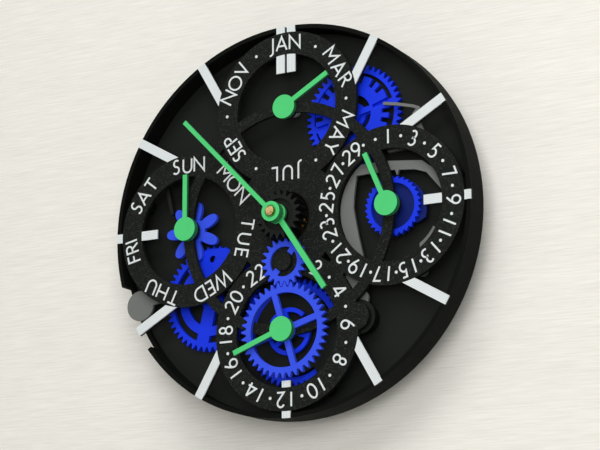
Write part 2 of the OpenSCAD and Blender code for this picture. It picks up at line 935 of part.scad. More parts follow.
module program_gear() {
    color(brass) stand() at_point(program_at) difference() {
        slab(rear_gear_front, rear_gear_back) difference() {
            gear_outline(program_teeth, program_mod, program_phase);
            for (i = [0 : 4]) rotate(72 * i) translate([17, 0]) circle(r = 6.5);
        }
        rod(arbor_r + seat_gap, 0, rear_gear_back - 1);
    }
}

// ---- Calendar lever and springs ----

module lever_post() {
    color(black) stand() at_point(pivot_at) difference() {
        union() {
            rod(ear_r, plate_back, lever_front + end_gap);
            rod(cap_r, lever_front + end_gap + 1, lever_front + end_gap);
            rod(post_r, plate_back, floor_front);
        }
        rod(screw_shank_r + seat_gap, 0, floor_front - 1);
    }
}

module calendar_lever() {
    bend = weekday_at + [-16, -33.2];
    elbow = clock_pt(lever_arc_r, elbow_angle, day_at);
    hook = [for (p = [[37.5, -7.6], [36.7, -5], [39.3, -2.2], [36.3, -0.9], [27.3, 1.5],
        [19.9, 2.9]]) program_at + p];
    limb = [pivot_at, date_at + [-18, -46], date_at + [-23.5, -37.5], date_at + [-25.2, -26],
        date_at + [-24, -14]];
    corner = date_at + [24.5, 17.5];
    // The window round the date ratchet, from the top bar to the right and back to the left
    frame_edge = [[-1.9, 24.3], [16.6, 22.3], [24.3, 16.4], [27.5, 9], [28, 5.6], [27, 6.2],
        [19.1, 15.7], [12.7, 18], [-1, 19.3], [-20.8, 18.7], [-22.3, 8.1], [-22.7, 2],
        [-21.7, -4.2], [-19.9, -13.5], [-17.6, -23.2], [-16.2, -29]];
    knee = date_at + [19, 30];
    color(gray) stand() {
        difference() {
            union() {
                at_point(tab_at) rod(tab_r, lever_front, lever_back);
                bar(tab_at, bend, lever_w - 2, lever_front, lever_back);
                bar(bend, elbow, lever_w, lever_front, lever_back);
                at_point(day_at)
                    arc_bar(lever_arc_r, lever_w, lever_front, lever_back, elbow_angle - 360, 72);
                bar(clock_pt(lever_arc_r, 72, day_at), pivot_at, lever_w, lever_front,
                    lever_back);
                at_point(pivot_at) rod(post_r + 3, lever_front, lever_back);
                for (i = [0 : len(limb) - 2])
                    bar(limb[i], limb[i + 1], lever_w, lever_front, lever_back);
            }
            at_point(pivot_at) rod(post_r + run_gap, 0, lever_back - 1);
        }
        slab(lever_front - proud, lever_back + proud) translate(date_at)
            polygon(concat([[-20, -37], [-26.8, -33]],
                [for (a = [236 : 8 : 324]) clock_pt(frame_r, a)], frame_edge));
        bar(corner, knee, 4, lever_front, lever_back);
        bar(knee, hook[0], 4, lever_front, lever_back);
        for (i = [0 : len(hook) - 2])
            bar(hook[i], hook[i + 1], 1.7, lever_front, lever_back);
        slab(lever_front, lever_back)
            polygon([[date_at[0] + 1.2, 20], [date_at[0] + 3.8, 20],
                [date_at[0] + 2.9, pawl_tip], [date_at[0] + 2.4, pawl_tip]]);
        at_point(clock_pt(cam_follower_ring, cam_follower_angle, day_at))
            rod(1.5, lever_back, deep_front + 0.2);
    }
}

module lever_spring() {
    color(black) stand() at_point(pivot_at)
        tube(post_r + 3.3, post_r + 0.3, lever_back - 0.3, floor_front);
}

module date_detent() {
    foot = detent_points()[0];
    front = disc_back - 0.4;
    back = front - 1.6;
    color(gray) stand() {
        at_point(foot) {
            rod(3.2, front, back);
            rod(screw_shank_r, back, floor_back);
        }
        at_point(date_at) arc_bar(24.8, 2.2, front, back, 120, 146);
        bar(clock_pt(24.8, 146, date_at), foot, 2.2, front, back);
    }
}

module month_detent() {
    foot = detent_points()[1];
    nose = clock_pt(index_tip_r + 1.8, 136.4, program_at);
    elbow = program_at + [26.5, -21.1];
    color(gray) stand() {
        at_point(foot) {
            rod(3.2, deep_front, deep_back);
            rod(screw_shank_r, deep_back, floor_back);
        }
        bar(foot, elbow, 2.4, deep_front, deep_back);
        bar(elbow, nose, 2.4, deep_front, deep_back);
    }
}

module weekday_detent() {
    foot = detent_points()[2];
    color(black) stand() {
        at_point(foot) {
            rod(3.2, star_front, star_back);
            rod(screw_shank_r, star_back, floor_back);
        }
        bar(foot, clock_pt(star_r + 1.6, 312, weekday_at), 2.2, star_front, star_back);
    }
}

case_shell();
main_plate();
dial_plate();
hour_markers();
dial_pillars();
pillar_screws();
spacer_ring();
rear_cover();
back_screws();
cover_screws();
movement_case();
movement_bush();
movement_nut();
battery_cell();
battery_contacts();
battery_door();
setting_knob();
hour_pipe();
centre_shaft();
minute_hand();
hour_gear();
hour_hand();
idler_gear();
day_arbor();
day_gear();
day_hand();
clutch_ring();
day_cam();
day_drive_gear();
transfer_stud();
transfer_gear();
weekday_paddle();
weekday_arbor();
weekday_star();
weekday_hand();
date_arbor();
date_ratchet();
date_disc();
date_hand();
month_arbor();
month_pinion();
month_hand();
program_arbor();
program_cam();
index_wheel();
program_gear();
lever_post();
calendar_lever();
lever_spring();
date_detent();
month_detent();
weekday_detent();
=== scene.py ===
# %% [markdown]
# # A skeleton wall clock with a perpetual calendar
# The CAD model already holds every wheel, lever and plate at its real size. This script
# dresses it: it gives each piece a printed, turned or ground finish, draws the dial
# lettering, adds the small marks on the back, and sets up the room, the light and the
# camera.

import json
import math

import bmesh
import bpy
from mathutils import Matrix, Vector


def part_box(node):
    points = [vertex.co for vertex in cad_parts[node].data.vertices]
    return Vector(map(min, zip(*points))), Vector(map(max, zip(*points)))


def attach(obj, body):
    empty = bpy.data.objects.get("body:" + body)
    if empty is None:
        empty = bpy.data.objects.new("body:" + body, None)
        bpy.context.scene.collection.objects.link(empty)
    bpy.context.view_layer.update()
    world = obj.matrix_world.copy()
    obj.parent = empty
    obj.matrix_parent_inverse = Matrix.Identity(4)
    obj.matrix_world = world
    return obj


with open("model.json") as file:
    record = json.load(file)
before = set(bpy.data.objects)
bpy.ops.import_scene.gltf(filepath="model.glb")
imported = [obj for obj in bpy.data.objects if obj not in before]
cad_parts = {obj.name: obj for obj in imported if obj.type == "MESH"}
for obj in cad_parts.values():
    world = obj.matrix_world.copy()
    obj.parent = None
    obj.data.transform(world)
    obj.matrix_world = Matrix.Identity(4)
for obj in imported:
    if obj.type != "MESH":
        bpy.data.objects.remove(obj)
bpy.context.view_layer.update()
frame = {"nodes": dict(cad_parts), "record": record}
NODES = frame["nodes"]
MM = 0.001

# %% [markdown]
# ## Where things are
# The clock was designed on paper from the front: x to the right, y up, and z towards the
# viewer, with z = 0 on the front of the dial plate. The frame stands it upright, so these
# helpers turn a place on the paper into a place in the frame. Clock angles run clockwise
# from twelve, because that is how a dial is read.

# %% Places on the dial
DIAL_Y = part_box("case_shell")[0].y


def place(x, y, z):
    """A point of the front drawing, in millimetres, as a point of the frame."""
    return Vector((x * MM, DIAL_Y - z * MM, y * MM))


def centre_of(node):
    """The middle of a node's box, as x and y of the front drawing."""
    low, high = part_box(node)
    return ((low.x + high.x) / 2 / MM, (low.z + high.z) / 2 / MM)


def clock_pt(radius, angle, centre):
    """A point at a radius from a centre, at a clock angle in degrees."""
    turn = math.radians(angle)
    return (centre[0] + radius * math.sin(turn), centre[1] + radius * math.cos(turn))


DIALS = {name: centre_of(name + "_arbor") for name in ("month", "date", "day", "weekday")}
print("dial centres", {name: [round(v, 2) for v in at] for name, at in DIALS.items()})

# %% [markdown]
# ## Shader maths
# A procedural finish is a formula over the surface. It could be wired up link by link, but
# a Python expression is easier to read. So one small class wraps a socket, and each
# + - * / or > on it adds a Math node. Python tries the reflected forms when the plain
# number comes first: 1 - mask asks for `__rsub__`, and 0.5 > mask asks for `__lt__`.


# %% The value class
class Value:
    """A socket of a graph that can be used in an expression."""

    def __init__(self, graph, socket):
        self.graph = graph
        self.socket = socket

    def apply(self, operation, *others):
        """A Math node with this value in its first socket."""
        return self.graph.node("Math", {"operation": operation}, enumerate((self, *others)))

    def swapped(self, operation, other):
        """A Math node with this value in its second socket."""
        return self.graph.node("Math", {"operation": operation}, enumerate((other, self)))

    def __add__(self, other):
        return self.apply("ADD", other)

    __radd__ = __add__

    def __sub__(self, other):
        return self.apply("SUBTRACT", other)

    def __rsub__(self, other):
        return self.swapped("SUBTRACT", other)

    def __mul__(self, other):
        return self.apply("MULTIPLY", other)

    __rmul__ = __mul__

    def __truediv__(self, other):
        return self.apply("DIVIDE", other)

    def __rtruediv__(self, other):
        return self.swapped("DIVIDE", other)

    def __gt__(self, other):
        return self.apply("GREATER_THAN", other)

    def __lt__(self, other):
        return self.apply("LESS_THAN", other)

    def clamp(self):
        """The value kept between 0 and 1."""
        return self.graph.node("Clamp", {}, {0: self})

    def swing(self, amount):
        """A pattern from 0 to 1 as a change that swings about zero."""
        return (self - 0.5) * amount

    def wave(self, pitch_mm):
        """A wave from 0 to 1 that repeats with this pitch along a length in metres."""
        return (self * (2 * math.pi / (pitch_mm * MM))).apply("SINE") * 0.5 + 0.5

    def output(self, name):
        """Another output of the node that this value comes from."""
        return Value(self.graph, self.socket.node.outputs[name])


print("values take + - * / and >")

# %% [markdown]
# Every node is made in one place. `node` takes a node's type, then its settings, because
# these can change which sockets it has, and then what goes into its sockets: a plain
# number or colour is written on the socket, and a value is linked to it.


# %% The graph class
class Graph:
    """A node tree, and the one way in which nodes are added to it."""

    def __init__(self, tree):
        self.tree = tree

    def plug(self, slot, term):
        """Links a value to a slot, or writes a plain number or colour on it."""
        if isinstance(term, Value):
            self.tree.links.new(term.socket, slot)
        else:
            slot.default_value = term

    def node(self, kind, settings=(), sockets=(), output=0):
        """Adds a node and returns one of its outputs."""
        made = self.tree.nodes.new("ShaderNode" + kind)
        for name, setting in dict(settings).items():
            setattr(made, name, setting)
        for name, term in dict(sockets).items():
            self.plug(made.inputs[name], term)
        return Value(self, made.outputs[output])


print("graphs add nodes")

# %% [markdown]
# A finish is a material with one Principled shader. It starts from a single colour,
# roughness, metallic value and shine, which are already a fair picture of the real stuff.
# Patterns are then fed into the shader's sockets to break the evenness up. The Mix node
# has a set of sockets for each kind of data, so the ones for colours get names here.

# %% The finish class
MIX_MASK, MIX_FIRST, MIX_SECOND, MIX_RESULT = 0, 6, 7, 2


def shade(colour, factor):
    """A colour made lighter or darker by a factor, with the alpha that sockets want."""
    return (*[min(1.0, part * factor) for part in colour], 1.0)


class Finish(Graph):
    """A material made of one Principled shader and the nodes that feed it."""

    def __init__(self, name, colour, roughness, metallic=0.0, shine=0.5):
        self.material = bpy.data.materials.new(name)
        self.material.use_nodes = True
        super().__init__(self.material.node_tree)
        self.shader = self.tree.nodes["Principled BSDF"]
        self.feed("Base Color", (*colour, 1.0))
        self.feed("Roughness", roughness)
        self.feed("Metallic", metallic)
        self.feed("Specular IOR Level", shine)
        self.material.diffuse_color = (*colour, 1.0)

    def feed(self, socket, term):
        """Gives one of the shader's sockets a number, a colour or a value."""
        self.plug(self.shader.inputs[socket], term)

    def spot(self):
        """The surface point, in the frame's metres."""
        return self.node("TexCoord", output="Object")

    def split(self, vector):
        """A vector's x, y and z as three values."""
        x = self.node("SeparateXYZ", {}, {0: vector})
        return x, x.output("Y"), x.output("Z")

    def noise(self, per_mm, detail=2.0, rough=0.5, where=None):
        """Noise with about that many blobs in a millimetre."""
        return self.node("TexNoise", {}, {
            "Vector": where or self.spot(), "Scale": per_mm / MM, "Detail": detail,
            "Roughness": rough})

    def blend(self, mask, first, second):
        """Two colours mixed by a mask from 0 to 1."""
        return self.node("Mix", {"data_type": "RGBA"},
                         {MIX_MASK: mask, MIX_FIRST: first, MIX_SECOND: second}, MIX_RESULT)

    def drift(self, mask, colour, dark, pale):
        """A colour that drifts between a darker and a paler shade of itself."""
        return self.blend(mask, shade(colour, dark), shade(colour, pale))

    def bump(self, height, depth_mm):
        """A normal that makes a height from 0 to 1 look like relief of that depth."""
        return self.node("Bump", {}, {"Height": height, "Distance": depth_mm * MM})


print("finishes start from colour, roughness, metallic and shine")

# %% [markdown]
# ## Printed plastic
# Nearly all of this clock is printed in layers. The side that lay on the printer's bed is
# finely pebbled, and the upright sides show the layers as close lines. As geometry that would
# be thousands of ridges, each a hundredth of a millimetre deep, so both are bump: noise over
# the flat faces, and a wave along the clock's depth for the layers. The plastic's colour
# and gloss also vary a little from place to place, and some finishes paint shade on their
# sides, darker where less light reaches them.

# %% Printed plastic
LAYER_MM = 0.28
FACE_ON = 0.8  # above this cosine of its tilt, a surface counts as a flat face
GRAIN_PER_MM = 2.2
CLOUD_PER_MM = 0.08
DARK_PATCH, PALE_PATCH = 0.88, 1.13
CLOUD_TONE, GRAIN_TONE = 0.5, 0.35
CLOUD_GLOSS, GRAIN_GLOSS = 0.16, 0.14
TRACK_RELIEF, TRACK_MIDDLE = 0.8, 0.6


def printed(name, colour, roughness, pebble=0.02, layer=0.012, lines=None, shine=0.3,
            painted_side_shade=1.0, streak=0.0):
    """Plastic printed in layers along the clock's depth.

    pebble and layer are the depths of the two reliefs in millimetres. lines adds toolpath
    lines to the faces, streak makes them show in the colour too, and the factor for the
    sides darkens their colour: painted shade, as where less light reaches the layered sides.
    """
    finish = Finish(name, colour, roughness, shine=shine)
    x, y, z = finish.split(finish.spot())
    grain = finish.noise(GRAIN_PER_MM, detail=3.0, rough=0.6)
    cloud = finish.noise(CLOUD_PER_MM)
    _, depthwise, _ = finish.split(finish.node("NewGeometry", output="Normal"))
    flat = depthwise.apply("ABSOLUTE") > FACE_ON
    height = flat * grain + (1 - flat) * y.wave(LAYER_MM) * (layer / pebble)
    tone = cloud.swing(CLOUD_TONE) + grain.swing(GRAIN_TONE) + 0.5
    if lines:
        track = lines(x, z)
        height = height + flat * track * TRACK_RELIEF
        tone = tone + (track - TRACK_MIDDLE) * streak
    tone = tone.clamp()
    # painted shade: the sides take a darker copy of the colour, as where less light reaches
    # them
    sides = finish.drift(tone, colour, DARK_PATCH * painted_side_shade, PALE_PATCH * painted_side_shade)
    faces = finish.drift(tone, colour, DARK_PATCH, PALE_PATCH)
    finish.feed("Base Color", finish.blend(flat, sides, faces))
    gloss = cloud.swing(CLOUD_GLOSS) + grain.swing(GRAIN_GLOSS)
    finish.feed("Roughness", gloss + roughness)
    finish.feed("Normal", finish.bump(height, pebble))
    return finish


print("printed plastic: layers of", LAYER_MM, "mm")

# %% [markdown]
# A printer fills a round part with one ring beside the other, and on the case they show as
# close lines round the clock's centre. The distance from that centre, put through a wave,
# gives exactly such rings, and it needs no image.

# %% Rings on the case
RING_PITCH_MM = 0.42


def arc_lines(x, z):
    """Close lines round the clock's centre."""
    return (x * x + z * z).apply("SQRT").wave(RING_PITCH_MM)


print("rings every", RING_PITCH_MM, "mm")

# %% [markdown]
# ## The black dial plate
# The plate was printed face down on a coarse bed, so its front glitters with tiny facets.
# Noise alone looks cloudy and has no facets. A cell texture has: each cell gets a random
# level, and a few of the cells are glossier and painted pale, a painted glint for the light
# that such facets catch.

# %% Sparkling black
DIAL_BLACK = (0.0066, 0.0078, 0.0066)
DIAL_ROUGHNESS = 0.62
FACETS_PER_MM = 2.8
GRIT_PER_MM = 1.1
GRIT_DEPTH_MM = 0.07
FLECK_ABOVE = 0.86  # of all facets, the share that stays dark
# how pale the glossier facets are painted, and how strongly: painted glint
PAINTED_GLINT_TONE = 7.0
PAINTED_GLINT_STRENGTH = 0.8
FLECK_GLOSS = 0.3
HAZE_FROM, HAZE_CONTRAST = 0.42, 2.2
HAZE_DARK, HAZE_PALE = 0.7, 1.7


def sparkling_black(name):
    """Black plastic with the grain of a coarse printing bed, and painted glints on its glossier
    facets.
    """
    finish = Finish(name, DIAL_BLACK, roughness=0.55, shine=0.09)
    facets = finish.node("TexVoronoi", {}, {
        "Scale": FACETS_PER_MM / MM, "Vector": finish.spot()}, output="Color")
    pick = finish.node("SeparateColor", {}, {0: facets})
    level = pick.output("Green")
    grit = finish.noise(GRIT_PER_MM, detail=4.0, rough=0.65)
    glint_fleck = (pick > FLECK_ABOVE) * level
    haze = ((grit - HAZE_FROM) * HAZE_CONTRAST).clamp()
    body = finish.drift(haze, DIAL_BLACK, HAZE_DARK, HAZE_PALE)
    # painted glint: the glossier facets are also painted pale
    finish.feed("Base Color", finish.blend(
        glint_fleck * PAINTED_GLINT_STRENGTH, body, shade(DIAL_BLACK, PAINTED_GLINT_TONE)))
    finish.feed("Roughness", DIAL_ROUGHNESS - glint_fleck * FLECK_GLOSS + grit.swing(0.2))
    finish.feed("Normal", finish.bump(level * 0.5 + grit, GRIT_DEPTH_MM))
    return finish


print("dial black:", FACETS_PER_MM, "facets in a millimetre")

# %% [markdown]
# ## White bars
# The hour bars were printed lying down, and each shows a few straight toolpath lines along
# its length. One finish has to serve all of them, though they point twelve ways. So the
# shader rounds the point's own angle to the nearest bar and then draws its lines across
# that direction.

# %% Lines along the bars
SPOKES = 12
BAR_LINE_MM = 0.9


def bar_lines(x, z):
    """Lines that run along the nearest of twelve spokes."""
    step = 2 * math.pi / SPOKES
    spoke = (x.apply("ARCTAN2", z) / step).apply("ROUND") * step
    return (x * spoke.apply("COSINE") - z * spoke.apply("SINE")).wave(BAR_LINE_MM)


print("bar lines every", BAR_LINE_MM, "mm")

# %% [markdown]
# ## Metals
# The arbors and screws are ground steel, and the centre shaft and the nut are turned
# brass. Plain metal would mirror the room like chrome. Turning and grinding leave fine
# streaks that break up a reflection, so each metal gets streaky roughness and a very
# shallow bump, made of noise that is drawn out across the clock's face.

# %% Turned and ground metal
STREAKS_PER_MM, SMUDGES_PER_MM = 5.0, 0.3
STREAK_GLOSS, SMUDGE_GLOSS = 0.22, 0.2
DRAWN_OUT = 0.15
METAL_DARK, METAL_PALE = 0.82, 1.1
TOOL_MARK_MM = 0.006


def turned_metal(name, colour, roughness):
    """Metal with fine tool marks round its axis."""
    finish = Finish(name, colour, roughness, metallic=1.0)
    x, y, z = finish.split(finish.spot())
    along = finish.node("CombineXYZ", {}, {0: x * DRAWN_OUT, 1: y, 2: z * DRAWN_OUT})
    streaks = finish.noise(STREAKS_PER_MM, detail=3.0, rough=0.6, where=along)
    smudge = finish.noise(SMUDGES_PER_MM, detail=3.0)
    gloss = streaks.swing(STREAK_GLOSS) + smudge.swing(SMUDGE_GLOSS)
    finish.feed("Roughness", gloss + roughness)
    finish.feed("Base Color", finish.drift(smudge, colour, METAL_DARK, METAL_PALE))
    finish.feed("Normal", finish.bump(streaks, TOOL_MARK_MM))
    return finish


print("metals:", STREAKS_PER_MM, "streaks in a millimetre")

# %% [markdown]
# ## One finish for each slot of the record
# The record names a material slot for every node, so a table from slot to finish dresses
# them all at once, and nothing is missed. Colours are linear values that render about as
# the real plastic looks.

# %% Slot finishes
CASE_BLACK = (0.0096, 0.0110, 0.0094)
BAR_WHITE = (0.69, 0.735, 0.735)
GREEN = (0.074, 0.575, 0.176)
BLUE = (0.005, 0.033, 0.74)
GREY = (0.145, 0.151, 0.142)
MOVEMENT_BLACK = (0.018, 0.018, 0.02)
STEEL = (0.45, 0.46, 0.48)
BRASS = (0.78, 0.55, 0.24)
CELL_GREY = (0.30, 0.32, 0.36)

FINISHES = {
    # the case black paints shade on its layered sides
    "black": printed("case_black", CASE_BLACK, 0.5, pebble=0.015, layer=0.02,
                     lines=arc_lines, shine=0.10, painted_side_shade=0.5),
    "dial_black": sparkling_black("dial_black"),
    "white": printed("bar_white", BAR_WHITE, 0.45, pebble=0.03, layer=0.02,
                     lines=bar_lines, streak=1.2),
    "steel": turned_metal("ground_steel", STEEL, 0.3),
    "movement": printed("movement_black", MOVEMENT_BLACK, 0.4),
    "brass": turned_metal("turned_brass", BRASS, 0.26),
    "battery": turned_metal("cell_jacket", CELL_GREY, 0.38),
    # the hand green paints shade on its layered sides
    "green": printed("hand_green", GREEN, 0.4, layer=0.015, shine=0.25, painted_side_shade=0.35),
    "blue": printed("gear_blue", BLUE, 0.42, pebble=0.025, layer=0.015, shine=0.22),
    "grey": printed("lever_grey", GREY, 0.45, layer=0.015),
}
for part in frame["record"]["subparts"]:
    shown = NODES[part["node"]]
    shown.data.materials.clear()
    shown.data.materials.append(FINISHES[part["material_slot"]].material)
print(len(NODES), "nodes dressed in", len(FINISHES), "finishes")

# %% [markdown]
# Pieces of one colour get their own shades here. The gears in front are a paler, rougher
# blue, the paler colour a painted sheen for the light they catch in front; the disc inside
# the date ratchet is almost navy, a painted shade for the deep hollow it lies in; and the
# case's shell is a deeper black than the plates. Each keeps its slot, and only the shade
# differs.

# %% Shades of one slot
# painted sheen: a paler blue for the gears in front
LIT_FRONT_BLUE = (0.032, 0.078, 0.77)
# painted shade: a navy for the disc deep in its hollow
SHADED_DISC_BLUE = (0.004, 0.012, 0.12)
SHELL_BLACK = (0.0056, 0.0064, 0.0052)

# painted sheen on the front gears
lit_front_blue = printed("front_gear_lit_blue", LIT_FRONT_BLUE, 0.45, pebble=0.05, layer=0.02, shine=0.25)
# painted shade on the ratchet's disc
shaded_disc_blue = printed("shaded_disc_blue", SHADED_DISC_BLUE, 0.42, pebble=0.025, layer=0.015, shine=0.15)
shell_black = printed("shell_black", SHELL_BLACK, 0.6, pebble=0.015, layer=0.02,
                      lines=arc_lines, shine=0.02)
SHADES = {"idler_gear": lit_front_blue, "day_gear": lit_front_blue, "weekday_star": lit_front_blue,
          "date_disc": shaded_disc_blue, "case_shell": shell_black}
for name, finish in SHADES.items():
    NODES[name].data.materials[0] = finish.material
print("own shades for", ", ".join(SHADES))

# %% [markdown]
# ## Soft edges
# A printed edge is never knife sharp: the nozzle rounds it by about a tenth of a
# millimetre. A Bevel modifier rounds it here too and leaves the CAD mesh under it as it
# was. The nodes that face the viewer get one, because the thin line of light along an edge
# is what makes small parts readable.

# %% Bevel the visible pieces
SOFT_EDGES = {
    "dial_plate": 0.16, "hour_markers": 0.14, "case_shell": 0.2, "month_hand": 0.16,
    "date_hand": 0.16, "day_hand": 0.16, "weekday_hand": 0.16, "hour_hand": 0.16,
    "minute_hand": 0.16, "rear_cover": 0.3, "battery_door": 0.15, "day_gear": 0.1,
    "idler_gear": 0.1, "weekday_star": 0.12, "calendar_lever": 0.12,
}
EDGE_STEPS = 2
SHARP_FROM = math.radians(40)

for name, width in SOFT_EDGES.items():
    edge = NODES[name].modifiers.new("soft_edge", "BEVEL")
    edge.width = width * MM
    edge.segments = EDGE_STEPS
    edge.limit_method = "ANGLE"
    edge.angle_limit = SHARP_FROM
print("soft edges on", len(SOFT_EDGES), "nodes")

# %% [markdown]
# ## A helper for mesh pieces
# Every extra piece is one mesh: points in the frame's metres, faces, the record's slot,
# which also names its finish, and the CAD body that carries it. The faces may be listed
# either way round, because the helper turns them all outwards.


# %% Make a piece
def piece(name, points, faces, slot, body):
    """Makes one mesh object that rides on a body of the clock."""
    mesh = bpy.data.meshes.new(name)
    mesh.from_pydata([tuple(point) for point in points], [], faces)
    mesh.validate()
    work = bmesh.new()
    work.from_mesh(mesh)
    bmesh.ops.recalc_face_normals(work, faces=work.faces)
    work.to_mesh(mesh)
    work.free()
    mesh.shade_flat()
    mesh.materials.append(FINISHES[slot].material)
    made = bpy.data.objects.new(name, mesh)
    bpy.context.scene.collection.objects.link(made)
    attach(made, body)
    print(name, "has", len(mesh.polygons), "faces and rides on", body)


def joined(parts):
    """Several (points, faces) as one."""
    points, faces = [], []
    for part_points, part_faces in parts:
        start = len(points)
        points += part_points
        faces += [tuple(start + i for i in face) for face in part_faces]
    return points, faces


# %% [markdown]
# ## Lettering
# The dials carry plain capitals and figures inlaid in white. A text object would need a
# font file, and its outlines can't be set stroke by stroke. So each character is a few
# strokes in a box one unit high, and a stroke is a line of points. Round capitals are
# built from straight stems and nearly circular bowls, so arcs come from one small
# function. The first number of a character is the width of its box.


# %% Strokes of the letters
def bow(cx, cy, rx, ry, start, end, steps=14):
    """Points on an ellipse from one angle to another, counted the school way."""
    return [(cx + rx * math.cos(math.radians(start + (end - start) * i / steps)),
             cy + ry * math.sin(math.radians(start + (end - start) * i / steps)))
            for i in range(steps + 1)]


GLYPHS = {
    "A": (0.84, [[(0, 0), (0.42, 1), (0.84, 0)], [(0.14, 0.32), (0.70, 0.32)]]),
    "D": (0.84, [[(0, 0), (0, 1), (0.34, 1), *bow(0.34, 0.5, 0.5, 0.5, 90, -90), (0, 0)]]),
    "E": (0.50, [[(0.50, 1), (0, 1), (0, 0), (0.50, 0)], [(0, 0.52), (0.44, 0.52)]]),
    "F": (0.48, [[(0.48, 1), (0, 1), (0, 0)], [(0, 0.52), (0.42, 0.52)]]),
    "H": (0.74, [[(0, 0), (0, 1)], [(0.74, 0), (0.74, 1)], [(0, 0.52), (0.74, 0.52)]]),
    "I": (0.0, [[(0, 0), (0, 1)]]),
    "J": (0.12, [[(0.12, 1), *bow(-0.18, -0.06, 0.30, 0.24, 0, -82, 8)]]),
    "L": (0.44, [[(0, 1), (0, 0), (0.44, 0)]]),
    "M": (0.90, [[(0, 0), (0, 1), (0.45, 0.40), (0.90, 1), (0.90, 0)]]),
    "N": (0.83, [[(0, 0), (0, 1), (0.83, 0), (0.83, 1)]]),
    "O": (0.98, [bow(0.49, 0.5, 0.49, 0.51, 0, 360, 32)]),
    "P": (0.50, [[(0, 0), (0, 1), (0.25, 1), *bow(0.25, 0.75, 0.25, 0.25, 90, -90),
                  (0, 0.5)]]),
    "R": (0.60, [[(0, 0), (0, 1), (0.26, 1), *bow(0.26, 0.76, 0.25, 0.24, 90, -90),
                  (0, 0.52)],
                 [(0.26, 0.52), (0.60, 0)]]),
    "S": (0.49, [[*bow(0.26, 0.755, 0.22, 0.245, 48, 262),
                  *bow(0.22, 0.26, 0.26, 0.26, 82, -138)]]),
    "T": (0.72, [[(0, 1), (0.72, 1)], [(0.36, 1), (0.36, 0)]]),
    "U": (0.70, [[(0, 1), *bow(0.35, 0.35, 0.35, 0.36, 180, 360), (0.70, 1)]]),
    "V": (0.78, [[(0, 1), (0.39, 0), (0.78, 1)]]),
    "W": (1.28, [[(0, 1), (0.32, 0), (0.64, 1), (0.96, 0), (1.28, 1)]]),
    "Y": (0.74, [[(0, 1), (0.37, 0.48), (0.74, 1)], [(0.37, 0.48), (0.37, 0)]]),
    "0": (0.60, [bow(0.30, 0.5, 0.30, 0.51, 0, 360, 28)]),
    "1": (0.0, [[(0, 0), (0, 1)]]),
    "2": (0.50, [[*bow(0.25, 0.74, 0.25, 0.27, 160, -38), (0, 0), (0.54, 0)]]),
    "3": (0.46, [[*bow(0.20, 0.76, 0.21, 0.25, 138, -86),
                  *bow(0.19, 0.26, 0.27, 0.27, 84, -134)]]),
    "4": (0.64, [[(0.49, 0), (0.49, 1)], [(0.49, 1), (0, 0.25), (0.66, 0.25)]]),
    "5": (0.44, [[(0.42, 1), (0.10, 1), (0.06, 0.56), *bow(0.16, 0.30, 0.29, 0.31, 96, -128)]]),
    "6": (0.58, [[(0.46, 1), (0.20, 0.70), (0.04, 0.44)],
                 bow(0.29, 0.29, 0.28, 0.30, 0, 360, 24)]),
    "7": (0.50, [[(0, 1), (0.52, 1), (0.16, 0)]]),
    "8": (0.50, [bow(0.25, 0.76, 0.20, 0.25, 0, 360, 22),
                 bow(0.25, 0.25, 0.26, 0.26, 0, 360, 24)]),
    "9": (0.58, [[(0.12, 0), (0.38, 0.30), (0.54, 0.56)],
                 bow(0.29, 0.71, 0.28, 0.30, 0, 360, 24)]),
}
print(len(GLYPHS), "characters drawn")

# %% [markdown]
# A stroke becomes a flat ribbon: every point steps half a stroke's width to either side.
# At a corner both sides are mitred, as a picture frame's are, so the ribbon stays one
# strip of even width. A very sharp corner would get an endless tip, so the mitre has a
# limit.

# %% From a stroke to a ribbon
MITRE_LIMIT = 2.6
SAME_POINT = 1e-6  # of a millimetre


def ribbon(line, half):
    """Left and right sides of a stroke, and whether it closes on itself."""
    closed = math.dist(line[0], line[-1]) < SAME_POINT
    if closed:
        line = line[:-1]
    count = len(line)
    left, right = [], []
    for i, (x, y) in enumerate(line):
        before = line[i - 1] if i or closed else None
        after = line[(i + 1) % count] if i < count - 1 or closed else None
        ways = []
        for start, end in ((before, (x, y)), ((x, y), after)):
            if start and end and math.dist(start, end) > SAME_POINT:
                size = math.dist(start, end)
                ways.append(((end[0] - start[0]) / size, (end[1] - start[1]) / size))
        nx = sum(-way[1] for way in ways)
        ny = sum(way[0] for way in ways)
        reach = half / math.hypot(nx, ny)
        if len(ways) == 2:
            dot = ways[0][0] * ways[1][0] + ways[0][1] * ways[1][1]
            half_cosine = math.sqrt(max(0.0, (1 + dot) / 2))
            reach /= max(1 / MITRE_LIMIT, half_cosine)
        left.append((x + nx * reach, y + ny * reach))
        right.append((x - nx * reach, y - ny * reach))
    return left, right, closed


print("the stroke of the O closes on itself:", ribbon(*GLYPHS["O"][1], 0.1)[2])

# %% [markdown]
# The ribbon is then given a little thickness, so that it is a closed solid with a front,
# a back and sides. Paint on the plate's own surface would need a picture or a mask, while
# a thin solid keeps its crisp outline from every side.


# %% From a ribbon to an inlay
def raised(left, right, closed, front, back, to_place):
    """A ribbon as a thin closed solid between two levels."""
    count = len(left)
    points = [to_place(*point, level)
              for level in (front, back) for side in (left, right) for point in side]
    faces = []
    for i in range(count if closed else count - 1):
        j = (i + 1) % count
        l0, l1, r0, r1 = i, j, count + i, count + j
        low = 2 * count
        faces += [(l0, l1, r1, r0), (low + l1, low + l0, low + r0, low + r1),
                  (l1, l0, low + l0, low + l1), (r0, r1, low + r1, low + r0)]
    if not closed:
        faces += [(i, count + i, 3 * count + i, 2 * count + i) for i in (0, count - 1)]
    return points, faces


stem = raised(*ribbon([(0, 0), (0, 1)], 0.1), 0.1, 0, place)
print("a plain stem has", len(stem[1]), "faces")

